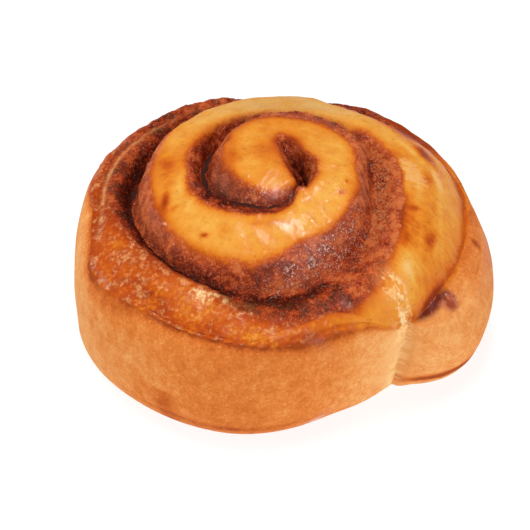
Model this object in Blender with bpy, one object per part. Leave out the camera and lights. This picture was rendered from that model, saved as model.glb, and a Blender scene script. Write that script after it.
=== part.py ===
"""A cinnamon brioche: one thick strip of rich dough, spread with cinnamon
filling, wound up like a snail and baked. The strip is wound clockwise, seen
from above, from the core out to the tail, which ends at the front right.
The filling is a ribbon that follows the strip from the core to the tail."""

import math

import bmesh
import bpy
from mathutils import Vector

# All sizes are in millimetres and all angles in degrees; MM gives metres.
# The winding angle runs clockwise from +X: 90 is the front, 180 the left.
MM = 0.001
TURN = 360.0

# Plan of the spiral. Each turn's outer face is nearly a circle, and the strip
# steps out from one circle to the next at the front or the front right.
SPIRAL_CENTRE = (1.5, 8.0)
CIRCLES = (  # X and Y from the spiral's centre, and the radius
    (-4.8, -5.1, 10.5),
    (0.2, 0.0, 20.0),
    (0.4, -1.8, 39.0),
    (-1.2, -4.0, 46.2),
    (-1.4, -6.0, 54.9),
)
STEPS = ((110.0, 160.0), (364.0, 465.0), (670.0, 745.0), (776.0, 833.0))  # where each step begins and ends
CORE_START, TAIL_END = 78.0, 1135.0
CORE_ROUNDING, TAIL_ROUNDING = 24.0, 22.0
TAIL_LOBE, LOBE_ANGLE, LOBE_SPREAD = 1.8, 1110.0, 20.0

# The hole at the core is a long wedge between the strip's start and the turn
# that runs round it.
HOLE_CENTRE = (2.2, -5.0)
HOLE_LENGTH, HOLE_WIDTH, HOLE_ANGLE = 18.6, 4.0, 72.0
HOLE_MERGE = (330.0, 385.0)

# Heights. The crowns of the turns touch one low dome, except that the
# outermost turn has sunk from the back round to its tail.
PEAK, DOME_FALL, DOME_RADIUS = 47.4, 17.0, 50.0
DOME_CENTRE = (-1.0, 1.5)
DOME_TILT = 0.6
BACK_SAG, BACK_FROM = 5.5, (950.0, 985.0)

# The filled gap between two turns, and the grooves over it.
GAP, CLEARANCE = 2.4, 0.3
GROOVE_MEAN, GROOVE_SWING, GROOVE_DEEPEST = 6.6, 1.8, 165.0
SEAM_FROM, SEAM_DEEPENS, SEAM_NARROWS = (620.0, 710.0), 0.4, 0.9
SHOULDER = 4.0
WIDE_INNER_SLOPES = ((700.0, 60.0, 3.0), (935.0, 105.0, 6.5))  # angle, spread, extra width
WIDE_OUTER_SLOPES = ((445.0, 42.0, 5.0), (725.0, 50.0, 8.0))
FILLING_SINK = 1.5
FILLING_FROM, FILLING_TO = 5.0, 765.0

# A plug of filling closes the hole some way down.
PLUG_REACH, PLUG_NARROWS, PLUG_SINK = 0.4, (60.0, 72.0), 6.5

# The outermost turn leans out to a bulge and tucks in under itself.
WALL_FROM = (745.0, 800.0)
WALL_LEAN, WALL_TUCK, THIN_LEAN = 6.5, 3.0, 0.5
BULGE_HEIGHT, WALL_SPLIT = 12.0, 0.4
CREASE_DEPTH = 1.2

# Where the tail ends, its seam leans out at the top and in at the base.
SEAM_LEAN, SEAM_ANGLE, SEAM_SPREAD = 2.8, 54.0, 12.0
SEAM_LEVEL, SEAM_INSIDE, SEAM_REACH = 14.0, 38.0, 10.0
END_SINK = 6.0
LEAST_SWELL = 0.15

# Sections of the loft.
ARC_STEP, LARGEST_TURN, SMALLEST_RADIUS = 4.2, 8.0, 5.0
BOTTOM_POINTS, WALL_POINTS, TOP_POINTS = 3, 6, 13

# Colours, as linear red, green and blue.
CRUST_COLOUR = (0.62, 0.25, 0.065, 1.0)
FILLING_COLOUR = (0.09, 0.022, 0.008, 1.0)
CRUST_ROUGHNESS, FILLING_ROUGHNESS = 0.42, 0.55


def smooth(t):
    """0 below 0, 1 above 1, and an even S between."""
    t = min(max(t, 0.0), 1.0)
    return t * t * (3.0 - 2.0 * t)


def share(angle, span):
    """How much of a span of angles lies behind, from 0 to 1."""
    return smooth((angle - span[0]) / (span[1] - span[0]))


def bell(angle, centre, spread):
    """1 at the centre angle, falling off on both sides."""
    return math.exp(-(((angle - centre) / spread) ** 2))


def circle_reach(circle, angle):
    """How far the circle lies from the spiral's centre, at this angle."""
    dx, dy, radius = circle
    a = math.radians(angle)
    along = dx * math.cos(a) - dy * math.sin(a)
    return along + math.sqrt(radius**2 - (dx**2 + dy**2 - along**2))


def hole_reach(angle):
    """How far the hole lies from the spiral's centre: a slanted ellipse."""
    a, slant = math.radians(angle), math.radians(HOLE_ANGLE)
    long, wide = HOLE_LENGTH / 2, HOLE_WIDTH / 2
    ux, uy = math.cos(a - slant) / long, math.sin(a - slant) / wide
    cx, cy = HOLE_CENTRE[0], -HOLE_CENTRE[1]
    along = (cx * math.cos(slant) + cy * math.sin(slant)) / long
    across = (cy * math.cos(slant) - cx * math.sin(slant)) / wide
    half = (ux * along + uy * across) / (ux**2 + uy**2)
    rest = (1.0 - along**2 - across**2) / (ux**2 + uy**2)
    return half + math.sqrt(half**2 + rest)


def outer_radius(angle):
    """Radius of the strip's outer face at a winding angle."""
    radius = circle_reach(CIRCLES[0], angle)
    for circle, span in zip(CIRCLES[1:], STEPS):
        t = share(angle, span)
        radius = (1.0 - t) * radius + t * circle_reach(circle, angle)
    return radius + TAIL_LOBE * bell(angle, LOBE_ANGLE, LOBE_SPREAD)


def gap(angle):
    """Width of the filled gap outside the strip."""
    return GAP - SEAM_NARROWS * share(angle, SEAM_FROM)


def inner_radius(angle):
    """Radius of the strip's inner face: the hole, then one gap outside the
    turn within."""
    t = share(angle, HOLE_MERGE)
    if t == 0.0:
        return hole_reach(angle)
    return (1.0 - t) * hole_reach(angle) + t * (outer_radius(angle - TURN) + gap(angle - TURN))


def plan(radius, angle):
    """X and Y from a radius and a winding angle."""
    a = math.radians(angle)
    return SPIRAL_CENTRE[0] + radius * math.cos(a), SPIRAL_CENTRE[1] - radius * math.sin(a)


def place(radius, angle, z):
    """A point in metres, with the lean of the seam."""
    off_seam = (angle - SEAM_ANGLE + TURN / 2) % TURN - TURN / 2
    lean = SEAM_LEAN * bell(off_seam, 0.0, SEAM_SPREAD) * (z / SEAM_LEVEL - 1.0)
    x, y = plan(radius + lean * smooth((radius - SEAM_INSIDE) / SEAM_REACH), angle)
    return Vector((x, y, z)) * MM


def dome(radius, angle):
    """Height of the dome that the crowns touch."""
    x, y = plan(radius, angle)
    off = math.hypot(x - DOME_CENTRE[0], y - DOME_CENTRE[1]) / DOME_RADIUS
    return PEAK - DOME_FALL * off**2


def groove_depth(angle):
    """How far a groove lies under the dome: deepest on the left, and down to
    the sunken crown along the seam of the tail."""
    depth = GROOVE_MEAN + GROOVE_SWING * math.cos(math.radians(angle - GROOVE_DEEPEST))
    return depth * (1.0 + SEAM_DEEPENS * share(angle, SEAM_FROM))


def groove_floor(angle):
    """Height of the groove outside the strip at this angle."""
    return dome(outer_radius(angle) + gap(angle) / 2, angle) - groove_depth(angle)


def slope_width(angle, wide_slopes, width):
    """Width of the slope down to a groove, on a strip this wide."""
    reach = SHOULDER + sum(extra * bell(angle, c, s) for c, s, extra in wide_slopes)
    return min(reach, 0.75 * width)


def swell_at(angle):
    """Share of the full width: less at the two rounded ends."""
    end = (angle - (TAIL_END - TAIL_ROUNDING)) / TAIL_ROUNDING
    start = (CORE_START + CORE_ROUNDING - angle) / CORE_ROUNDING
    near = max(end, start, 0.0)
    return max(math.sqrt(1.0 - near**2), LEAST_SWELL)


def strip_section(angle):
    """The strip's outline at one angle, as radii and heights: along the
    bottom, up the outer face, over the top and down the inner face."""
    swell, wall = swell_at(angle), share(angle, WALL_FROM)
    inner, outer = inner_radius(angle), outer_radius(angle)
    outer = inner + (outer - inner) * swell
    lean = wall * min(WALL_LEAN, THIN_LEAN * (outer - inner))
    tuck = wall * min(WALL_TUCK, THIN_LEAN * (outer - inner))
    width = outer - lean - inner
    crown = dome(inner + width / 2, angle)
    crown -= END_SINK * (1.0 - swell)
    crown -= BACK_SAG * share(angle, BACK_FROM)

    def crest(radius):
        return crown + DOME_TILT * (dome(radius, angle) - dome(inner + width / 2, angle))

    outer_depth = (1.0 - wall) * (crest(outer) - groove_floor(angle)) + wall * CREASE_DEPTH
    inner_depth = max(crest(inner) - groove_floor(angle - TURN), 0.0)
    outer_slope = slope_width(angle, WIDE_OUTER_SLOPES, width)
    inner_slope = slope_width(angle, WIDE_INNER_SLOPES, width)

    def top(across):
        radius = inner + across * width
        near_outer = max(0.0, 1.0 - width * (1.0 - across) / outer_slope)
        near_inner = max(0.0, 1.0 - width * across / inner_slope)
        drop = outer_depth * near_outer**2 + inner_depth * near_inner**2
        return radius, crest(radius) - drop

    points = []
    for i in range(BOTTOM_POINTS):
        points.append((inner + (outer - tuck - inner) * i / BOTTOM_POINTS, 0.0))
    shoulder = top(1.0)[1]
    for i in range(WALL_POINTS):
        under = min(1.0, i / WALL_POINTS / WALL_SPLIT)
        over = max(0.0, (i / WALL_POINTS - WALL_SPLIT) / (1.0 - WALL_SPLIT)) * math.pi / 2
        z = BULGE_HEIGHT * under + (shoulder - BULGE_HEIGHT) * math.sin(over)
        points.append((outer - tuck * (1.0 - under) ** 2 - lean * (1.0 - math.cos(over)), z))
    for i in range(TOP_POINTS):
        points.append(top(0.5 + 0.5 * math.cos(math.pi * i / (TOP_POINTS - 1))))
    shoulder = top(0.0)[1]
    for i in range(1, WALL_POINTS):
        points.append((inner, shoulder * (1.0 - i / WALL_POINTS)))
    return points


def filling_section(angle):
    """The ribbon's outline at one angle: it plugs the hole at the core, then
    fills the gap up to the groove."""
    ribbon = share(angle, PLUG_NARROWS)
    inner = PLUG_REACH + ribbon * (outer_radius(angle) + CLEARANCE - PLUG_REACH)
    outer = inner_radius(angle + TURN) - CLEARANCE
    middle = (inner + outer) / 2
    top = groove_floor(angle) - FILLING_SINK
    top -= PLUG_SINK * (1.0 - ribbon)
    edge = top - min(outer - inner, GAP) / 3
    heights = [CLEARANCE + (edge - CLEARANCE) * i / 3 for i in range(4)]
    up = [(outer, z) for z in heights]
    down = [(inner, z) for z in reversed(heights)]
    return up + [(middle, top)] + down


def winding_angles(first, last):
    """Angles from first to last, about one arc step apart."""
    angles = [first]
    while angles[-1] < last:
        radius = max(outer_radius(angles[-1]), SMALLEST_RADIUS)
        angles.append(angles[-1] + min(math.degrees(ARC_STEP / radius), LARGEST_TURN))
    stretch = (last - first) / (angles[-1] - first)
    return [first + (a - first) * stretch for a in angles]


def wind(name, angles, outline):
    """One closed solid: a loft through the outlines along the spiral."""
    shape = bmesh.new()
    rings = []
    for angle in angles:
        rings.append([shape.verts.new(place(r, angle, z)) for r, z in outline(angle)])
    for ring, following in zip(rings, rings[1:]):
        for i in range(len(ring)):
            shape.faces.new((ring[i - 1], ring[i], following[i], following[i - 1]))
    shape.faces.new(list(reversed(rings[0])))
    shape.faces.new(rings[-1])
    mesh = bpy.data.meshes.new(name)
    shape.to_mesh(mesh)
    shape.free()
    return bpy.data.objects.new(name, mesh)


def material(name, colour, roughness):
    made = bpy.data.materials.new(name)
    made.use_nodes = True
    shader = made.node_tree.nodes["Principled BSDF"]
    shader.inputs["Base Color"].default_value = colour
    shader.inputs["Roughness"].default_value = roughness
    shader.inputs["Metallic"].default_value = 0.0
    return made


def centre_footprint(pieces):
    """Moves the pieces together, so that the box is centred on the origin."""
    corners = [v.co for piece in pieces for v in piece.data.vertices]
    low = Vector(min(c[i] for c in corners) for i in range(3))
    high = Vector(max(c[i] for c in corners) for i in range(3))
    shift = Vector(((low.x + high.x) / 2, (low.y + high.y) / 2, low.z))
    for piece in pieces:
        for vertex in piece.data.vertices:
            vertex.co -= shift


def main():
    for obj in list(bpy.data.objects):
        bpy.data.objects.remove(obj)
    bun = bpy.data.collections.new("cinnamon_brioche")
    bpy.context.scene.collection.children.link(bun)
    dough = wind("dough", winding_angles(CORE_START, TAIL_END), strip_section)
    dough.data.materials.append(material("crust", CRUST_COLOUR, CRUST_ROUGHNESS))
    ribbon_angles = winding_angles(FILLING_FROM, FILLING_TO)
    filling = wind("filling", ribbon_angles, filling_section)
    filling.data.materials.append(material("filling", FILLING_COLOUR, FILLING_ROUGHNESS))
    pieces = (dough, filling)
    centre_footprint(pieces)
    for piece in pieces:
        piece.data.shade_smooth()
        bun.objects.link(piece)


main()
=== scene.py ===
# %% [markdown]
# # A cinnamon brioche
# A thick strip of sweet dough is spread with cinnamon sugar, wound up like a snail and baked.
# This lesson loads the measured model first, so that every new piece is made in its place.

# %% The measured model
import math

import bpy
import numpy as np
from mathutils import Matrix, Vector


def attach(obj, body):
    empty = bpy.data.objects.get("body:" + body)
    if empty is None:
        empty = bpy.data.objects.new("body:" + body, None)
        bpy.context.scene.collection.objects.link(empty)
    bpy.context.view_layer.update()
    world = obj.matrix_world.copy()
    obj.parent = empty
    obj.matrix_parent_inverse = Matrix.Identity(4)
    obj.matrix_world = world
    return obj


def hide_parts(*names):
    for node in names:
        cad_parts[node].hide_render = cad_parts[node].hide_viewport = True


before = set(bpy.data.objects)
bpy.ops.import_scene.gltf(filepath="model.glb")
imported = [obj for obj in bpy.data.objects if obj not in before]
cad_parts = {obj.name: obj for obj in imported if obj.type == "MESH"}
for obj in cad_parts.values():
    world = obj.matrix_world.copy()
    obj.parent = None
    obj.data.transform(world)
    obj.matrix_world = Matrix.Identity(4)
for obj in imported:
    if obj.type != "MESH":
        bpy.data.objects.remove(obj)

scene = bpy.context.scene
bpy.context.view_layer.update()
MM = 0.001

# %% [markdown]
# ## Camera
# The photograph looks down on the bun from the front, about 43 degrees above the table, through
# a long lens. A long lens from half a metre keeps the turns round, where a short one would swell
# the front wall. The camera aims at a point beside the middle, which frames the bun without a shift.

# %% Camera
VIEW_HEIGHT, VIEW_DISTANCE = math.radians(43.0), 0.480
AIM = Vector((-0.0043, -0.0054, 0.0155))
LENS, NEAREST, FARTHEST = 125.5, 0.01, 20

towards_camera = Vector((0, -math.cos(VIEW_HEIGHT), math.sin(VIEW_HEIGHT)))
camera = bpy.data.objects.new("camera", bpy.data.cameras.new("camera"))
scene.collection.objects.link(camera)
camera.location = AIM + towards_camera * VIEW_DISTANCE
camera.rotation_mode = "QUATERNION"
camera.rotation_quaternion = (-towards_camera).to_track_quat("-Z", "Y")
camera.data.lens, camera.data.clip_start, camera.data.clip_end = LENS, NEAREST, FARTHEST
scene.camera = camera
scene.view_settings.view_transform = "Standard"
print("camera at", [round(c, 3) for c in camera.location], "lens", LENS)

# %% [markdown]
# ## Floor and lamps
# The floor is a plain pale sheet, large enough to fill the view. It glows a little, so that it
# stays white beside the bun and lights the foot of the wall, as a white table does.

# %% Floor
FLOOR_SIZE, WHITE = 6, (1, 1, 1, 1)
FLOOR_COLOUR, FLOOR_GLOW = (0.26, 0.26, 0.26, 1), 0.81


def new_tree(name):
    """A new material, its nodes and its shader."""
    made = bpy.data.materials.new(name)
    made.use_nodes = True
    return made, made.node_tree, made.node_tree.nodes["Principled BSDF"]


def put(made, sockets):
    """Gives each named socket of a node a value or a link."""
    for key, value in sockets.items():
        if isinstance(value, bpy.types.NodeSocket):
            made.id_data.links.new(value, made.inputs[key])
        else:
            made.inputs[key].default_value = value


bpy.ops.object.select_all(action="DESELECT")
bpy.ops.mesh.primitive_plane_add(size=FLOOR_SIZE, location=(0, 0, 0))
floor = bpy.context.object
floor.name = "floor"
finish, tree, shader = new_tree("pale floor")
put(shader, {"Base Color": FLOOR_COLOUR, "Roughness": 0.7, "Specular IOR Level": 0.2})
put(shader, {"Emission Color": WHITE, "Emission Strength": FLOOR_GLOW})
floor.data.materials.append(finish)
print("floor", FLOOR_SIZE, "m wide")

# %% [markdown]
# Wide soft lamps light the dough. The sharp glints on the egg wash are mirrored windows, so these
# are small lamps of their own: they show in the gloss alone and throw no light on the dough, where
# one small strong lamp for both would make hard shadows and a crust that looks like plastic.

# %% Lamps
LOOK_AT, ROOM_LIGHT = Vector((0, 0, 0.02)), 0.32
LAMPS = {  # place, size, power and use of each lamp
    "overhead": ((-0.06, 0.12, 0.75), 0.36, 2.9, "light"),
    "front_fill": ((0.42, -0.85, 0.45), 0.80, 2.75, "light"),
    "left_fill": ((-0.75, -0.10, 0.55), 0.60, 2.2, "light"),
    "right_fill": ((0.70, -0.22, 0.42), 0.50, 0.9, "light"),
    "window": ((0.06, 0.36, 0.66), 0.14, 2.6, "gloss"),
    "high_window": ((-0.05, -0.12, 0.80), 0.13, 1.6, "gloss"),
    "front_window": ((0.02, -0.46, 0.62), 0.13, 2.0, "gloss"),
    "low_window": ((-0.02, -0.62, 0.50), 0.13, 5.0, "gloss"),
    "left_window": ((-0.66, 0.13, 0.17), 0.13, 1.8, "gloss"),
    "table_window": ((0.05, -0.85, 0.18), 0.13, 4.0, "gloss"),
}

for lamp_name, (place, size, power, use) in LAMPS.items():
    lamp = bpy.data.lights.new(lamp_name, "AREA")
    lamp.shape, lamp.size, lamp.energy = "DISK", size, power
    stand = bpy.data.objects.new(lamp_name, lamp)
    stand.location = place
    stand.rotation_mode = "QUATERNION"
    stand.rotation_quaternion = (LOOK_AT - stand.location).to_track_quat("-Z", "Y")
    stand.visible_glossy, stand.visible_diffuse = use == "gloss", use == "light"
    scene.collection.objects.link(stand)

scene.world = bpy.data.worlds.new("studio")
scene.world.use_nodes = True
put(scene.world.node_tree.nodes["Background"], {"Color": WHITE, "Strength": ROOM_LIGHT})
print(len(LAMPS), "lamps")

# %% [markdown]
# ## Plan of the spiral
# Each turn's outer face is nearly a circle. The strip steps out from one circle to the next, so
# a point on the bun has two numbers: how far the strip has turned, and how far across it lies.
# The winding angle runs clockwise from the right, and all sizes here are millimetres.
# These are the measures of the modelled solid, so the finer mesh has the same shape.

# %% Measures of the spiral
TURN, PER_TURN = 360.0, 440
CORE_START, SECTIONS = 72.0, 1299
TAIL_END = CORE_START + SECTIONS * TURN / PER_TURN
WALL_START = TAIL_END - TURN
SPIRAL_CENTRE = (1.13, 4.92)
CIRCLES = (  # centre and radius of each turn's outer face, from the spiral's centre
    (-4.8, -5.1, 10.5),
    (0.2, 0.0, 20.0),
    (0.4, -1.8, 39.0),
    (-1.2, -4.0, 46.2),
    (-1.4, -6.0, 54.9),
)
STEPS = ((110.0, 160.0), (364.0, 465.0), (670.0, 745.0), (776.0, 833.0))
SWELLS = (  # winding angle, spread and size of each place where the outer face bulges or draws in
    (100.0, 21.0, 2.2), (362.0, 30.0, 0.9), (697.0, 18.0, 4.6), (708.0, 22.0, 2.2),
    (893.0, 15.0, -1.1), (1043.0, 13.0, 1.8), (1071.0, 15.0, -1.6), (1110.0, 20.0, 1.8),
)
HOLE_CENTRE, HOLE_LENGTH, HOLE_WIDTH, HOLE_ANGLE = (1.5, -5.4), 19.4, 2.0, 75.0
MIDDLE_SHIFT, SHIFT_REACH = (3.9, -4.6), 13.5
GAP, SEAM_FROM, SEAM_NARROWS = 2.4, (620.0, 710.0), 0.9
SEAM_LEAN, SEAM_ANGLE, SEAM_SPREAD = 2.8, 54.0, 12.0
SEAM_LEVEL, SEAM_INSIDE, SEAM_REACH = 14.0, 38.0, 10.0
GROOVE_OPENS, NUDGE = (CORE_START, CORE_START + 14.0), 1e-6
print("the strip winds from", CORE_START, "to", round(TAIL_END), "degrees")

# %% Soft steps, bells and tables
def smooth(t):
    """0 below 0, 1 above 1, and an even S between."""
    t = np.clip(t, 0.0, 1.0)
    return t * t * (3.0 - 2.0 * t)


def share(angle, span):
    """How much of a span of angles lies behind, from 0 to 1."""
    return smooth((angle - span[0]) / (span[1] - span[0]))


def bell(x, centre, spread):
    """1 at the centre, falling off on both sides."""
    return np.exp(-(((x - centre) / spread) ** 2))


def along_strip(table, angle):
    """A value between the nearest entries of a table of winding angles."""
    return np.interp(angle, [a for a, _ in table], [value for _, value in table])


print("halfway up a soft step:", float(smooth(0.5)))

# %% [markdown]
# Two turns share each groove, so one function gives its place: the inner face of a turn is the
# groove outside the turn within. Only the first turn has none, and starts at the slanted slot.

# %% Faces of the strip
def circle_reach(circle, angle):
    """How far a circle lies from the spiral's centre, at this angle."""
    dx, dy, radius = circle
    a = np.radians(angle)
    along = dx * np.cos(a) - dy * np.sin(a)
    return along + np.sqrt(radius**2 - (dx**2 + dy**2 - along**2))


def hole_reach(angle):
    """How far the slanted slot at the middle lies from the spiral's centre."""
    a, slant = np.radians(angle), math.radians(HOLE_ANGLE)
    long, wide = HOLE_LENGTH / 2, HOLE_WIDTH / 2
    ux, uy = np.cos(a - slant) / long, np.sin(a - slant) / wide
    cx, cy = HOLE_CENTRE[0], -HOLE_CENTRE[1]
    along = (cx * math.cos(slant) + cy * math.sin(slant)) / long
    across = (cy * math.cos(slant) - cx * math.sin(slant)) / wide
    half = (ux * along + uy * across) / (ux**2 + uy**2)
    rest = (1.0 - along**2 - across**2) / (ux**2 + uy**2)
    return half + np.sqrt(half**2 + rest)


def outer_radius(angle):
    """Radius of the strip's outer face."""
    radius = circle_reach(CIRCLES[0], angle)
    for circle, span in zip(CIRCLES[1:], STEPS):
        t = share(angle, span)
        radius = (1.0 - t) * radius + t * circle_reach(circle, angle)
    for centre, spread, swell in SWELLS:
        radius = radius + swell * bell(angle, centre, spread)
    return radius


def gap(angle):
    """Width of the filled gap outside the strip."""
    return GAP - SEAM_NARROWS * share(angle, SEAM_FROM)


def groove(angle):
    """Radius of the middle of the groove outside the strip. It starts at the slot's end."""
    radius = outer_radius(angle) + gap(angle) / 2
    begin = share(angle, GROOVE_OPENS)
    return hole_reach(CORE_START) * (1.0 - begin) + radius * begin


def inner_edge(angle):
    """The slot in the first turn, and then the groove outside the turn within."""
    return np.where(angle < CORE_START + TURN - NUDGE, hole_reach(angle), groove(angle - TURN))


print("slot ends at", round(float(hole_reach(CORE_START)), 1), "mm")

# %% [markdown]
# A radius and a winding angle become X and Y. The slot isn't centred on the spiral, so the middle
# is moved over to it. The seam at the tail leans, because the tail sank against the turn within
# while the dough rose.

# %% From the strip to the room
def plan(radius, angle):
    """X and Y from a radius and a winding angle. Near the middle both move over to the slot."""
    a = np.radians(angle)
    moved = 1.0 - smooth(radius / SHIFT_REACH)
    x = SPIRAL_CENTRE[0] + radius * np.cos(a) + MIDDLE_SHIFT[0] * moved
    return x, SPIRAL_CENTRE[1] - radius * np.sin(a) + MIDDLE_SHIFT[1] * moved


def place_points(radius, angle, z):
    """Points in metres, with the lean of the seam at the tail."""
    off_seam = (angle - SEAM_ANGLE + TURN / 2) % TURN - TURN / 2
    lean = SEAM_LEAN * bell(off_seam, 0.0, SEAM_SPREAD) * (z / SEAM_LEVEL - 1.0)
    x, y = plan(radius + lean * smooth((radius - SEAM_INSIDE) / SEAM_REACH), angle)
    return np.stack([x, y, z], axis=-1) * MM


print("tail ends at", place_points(outer_radius(TAIL_END), TAIL_END, 0.0).round(4))

# %% [markdown]
# ## Heights
# The crowns of the turns touch one low dome, and the outermost turn has sunk at the back and the
# right. Each groove has a floor, where the slopes of its two neighbours meet. The tables run along
# the strip: each entry is a winding angle and the value there.

# %% Dome and sag
PEAK, DOME_FALL, DOME_RADIUS, DOME_TILT = 47.4, 17.0, 50.0, 0.6
DOME_CENTRE = (-1.37, -1.58)
SAG = (  # how far the crown has sunk below the dome
    (78, 0), (590, 0), (622, 0.6), (648, 0.4), (675, -0.5), (700, -0.3), (730, 0.2), (770, 0.5),
    (790, 1.8), (850, 1.8), (900, 0.5), (950, 0), (968, 0), (985, 4.5), (998, 4), (1008, 1.8),
    (1020, 0.8), (1034, 2), (1046, 3.4), (1060, 4.4), (1080, 5.3), (1105, 5.9), (1135, 7),
)
GROOVE_DEPTH = (  # how far the floor of the groove outside lies below the dome
    (72, 3.2), (98, 3.2), (118, 4), (138, 5.6), (155, 7.5), (210, 7.5), (270, 5.5), (330, 6.5),
    (430, 6.5), (480, 5.5), (520, 6.5), (550, 10), (590, 8), (640, 6), (690, 7), (775, 6.5),
)


def dome(radius, angle):
    """Height of the dome over a point of the plan."""
    x, y = plan(radius, angle)
    off = np.hypot(x - DOME_CENTRE[0], y - DOME_CENTRE[1]) / DOME_RADIUS
    return PEAK - DOME_FALL * off**2


print("dome over the core:", round(float(dome(0.0, CORE_START)), 1), "mm")

# %% [markdown]
# The slot at the core isn't a groove between two turns: its rim is an outline of its own, and the
# crust falls from that rim to a narrow floor that comes up at the front.

# %% The slot at the core
SLOT_DEEP, SLOT_END, SLOT_FADES = 9.5, 2.8, 18.0
SLOT_RISES, SLOT_STEP = (6.0, 14.5), 1.6
FLOOR_OPENS = (CORE_START, CORE_START + 20.0)
FLOOR_STEP, FAR_OFF = 4.0, 99.0
SLOT_RIM = (  # from the spiral's centre, round the edge where the crust dips to the slot
    (-1.3, 5.4), (0.6, 4.8), (4.3, -0.9), (7.2, -4.6), (7.1, -9.2), (6.0, -12.0), (5.0, -13.5),
    (4.1, -14.0), (3.0, -13.4), (1.8, -11.6), (0.5, -8.3), (-1.1, -2.6), (-2.4, 2.7),
)


def slot_distances(radius, angle):
    """How far a point lies outside the slot's rim, less than 0 inside, and how far from its floor."""
    x, y = plan(radius, angle)
    x, y = x - SPIRAL_CENTRE[0], y - SPIRAL_CENTRE[1]
    nearest, inside = np.full(x.shape, FAR_OFF), np.zeros(x.shape, bool)
    for (ax, ay), (bx, by) in zip(SLOT_RIM, SLOT_RIM[1:] + SLOT_RIM[:1]):
        length = (bx - ax) ** 2 + (by - ay) ** 2
        along = np.clip(((x - ax) * (bx - ax) + (y - ay) * (by - ay)) / length, 0.0, 1.0)
        aside = np.hypot(x - ax - along * (bx - ax), y - ay - along * (by - ay))
        nearest = np.minimum(nearest, aside)
        crosses = (ay > y) != (by > y)
        inside ^= crosses & (x < ax + (y - ay) * (bx - ax) / np.where(by == ay, 1.0, by - ay))
    floor = np.full(x.shape, FAR_OFF)
    for around in np.arange(0.0, TURN, FLOOR_STEP):
        edge_x, edge_y = plan(hole_reach(around), around)
        off_floor = np.hypot(x + SPIRAL_CENTRE[0] - edge_x, y + SPIRAL_CENTRE[1] - edge_y)
        floor = np.minimum(floor, off_floor)
    return np.where(inside, -nearest, nearest), floor


def slot_floor(radius, angle):
    """Height of the bottom of the slot, which is shallow at its front end."""
    a = np.radians(angle)
    front = share(radius * np.sin(a), SLOT_RISES)
    return PEAK - SLOT_DEEP + (SLOT_DEEP - SLOT_END - SLOT_STEP) * front


def groove_floor(angle):
    """Height of the groove outside the strip."""
    floor = dome(groove(angle), angle) - along_strip(GROOVE_DEPTH, angle)
    begin = share(angle, FLOOR_OPENS)
    return slot_floor(groove(angle), angle) * (1.0 - begin) + floor * begin


print("groove floor at the tail:", round(float(groove_floor(WALL_START)), 1), "mm")

# %% [markdown]
# ## The strip of dough
# By hand, a strip is rolled out flat, and then wound. The same is done here: a fine grid is
# added, its length becomes the winding angle and its width runs from groove to groove over the
# crown. Each turn has the same number of sections, so that neighbours share the points on the
# floor of their groove, and merging those makes one skin, as baking does.

# %% Slopes beside the grooves
INNER_WIDTH = (  # how wide the slope to the inner groove is
    (72, 1.4), (250, 1.4), (300, 1.2), (340, 1.2), (375, 1.5), (385, 3), (392, 3.8), (402, 3),
    (415, 1.8), (424, 1.4), (432, 4), (440, 5.5), (470, 6), (490, 5), (520, 4), (640, 3), (690, 6),
    (770, 7), (790, 6), (825, 5.5), (834, 3.5), (842, 2.5), (870, 4), (900, 8), (930, 10.5),
    (1010, 9), (1045, 4), (1060, 1.6), (1135, 1.4),
)
OUTER_WIDTH = (  # how wide the slope to the outer groove is
    (72, 3), (105, 3), (140, 4.2), (170, 5.5), (230, 5), (270, 3.5), (330, 3.5), (400, 5),
    (440, 7.5), (470, 5), (490, 3.5), (520, 4.5), (550, 6), (600, 5.5), (640, 4.5), (660, 8),
    (700, 13), (760, 12), (800, 6), (1135, 4),
)
INNER_ROUND = (  # how steeply the inner slope starts
    (72, 1.2), (300, 1.3), (400, 1.5), (460, 2.2), (690, 1.8), (790, 1.3), (840, 1.5), (900, 1.7),
    (1135, 2),
)
OUTER_ROUND = (  # how steeply the outer slope starts
    (72, 2.6), (115, 2.4), (160, 1.4), (230, 1.5), (330, 2.2), (450, 1.7), (540, 2.2), (650, 2),
    (1135, 2),
)
FLOOR_HALF = (  # half the width of the flat floor of the groove outside
    (72, 0.3), (100, 0.3), (160, 0.5), (220, 0.5), (330, 0.4), (420, 0.5), (440, 1.3), (465, 1.3),
    (475, 0.3), (505, 0.4), (515, 0.5), (550, 1.4), (590, 1.2), (640, 0.5), (700, 0.15),
    (1135, 0.15),
)
print("narrowest floor:", 2 * min(half for _, half in FLOOR_HALF), "mm")

# %% [markdown]
# The outermost turn has no neighbour outside. Its crown rounds over a shoulder to a wall that
# bulges, and the crust ends in an uneven lower edge, the rim, somewhere on that shoulder.

# %% Shoulder, wall and rim
TAIL_ROUNDING, CREASE_DEPTH = 22.0, 1.2
WALL_GROWS, WALL_LEAN, THIN_LEAN = 25.0, 6.5, 0.5
WALL_TUCK = (  # how far the wall draws in at the foot
    (775, 3), (830, 3.8), (850, 2.4), (865, 1), (880, 0.1), (895, 0), (920, 1.2), (1000, 3),
    (1135, 3),
)
BULGE_HEIGHT, WALL_SPLIT = 12.0, 0.4
TOP, WALL = 46, 44
SHOULDER_MM, FAR = 28.0, 30.0
RIM_LEVEL = (  # how far up the shoulder's rounding the rim lies, in degrees
    (775, 70), (785, 66), (792, 54), (800, 52), (808, 59), (820, 73), (830, 80), (845, 80),
    (855, 73), (865, 59), (871, 59), (880, 80), (890, 84), (905, 66), (930, 50), (1040, 50),
    (1070, 80), (1085, 90), (1135, 90),
)


def rim_level(angle):
    """How far up the rounding of the shoulder the crust's lower edge lies, in degrees."""
    wander = 1.2 * np.sin(np.radians(angle * 7.0)) + 0.9 * np.sin(np.radians(angle * 17.0 + 40.0))
    return np.minimum(along_strip(RIM_LEVEL, angle) + wander, 90.0)


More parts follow.
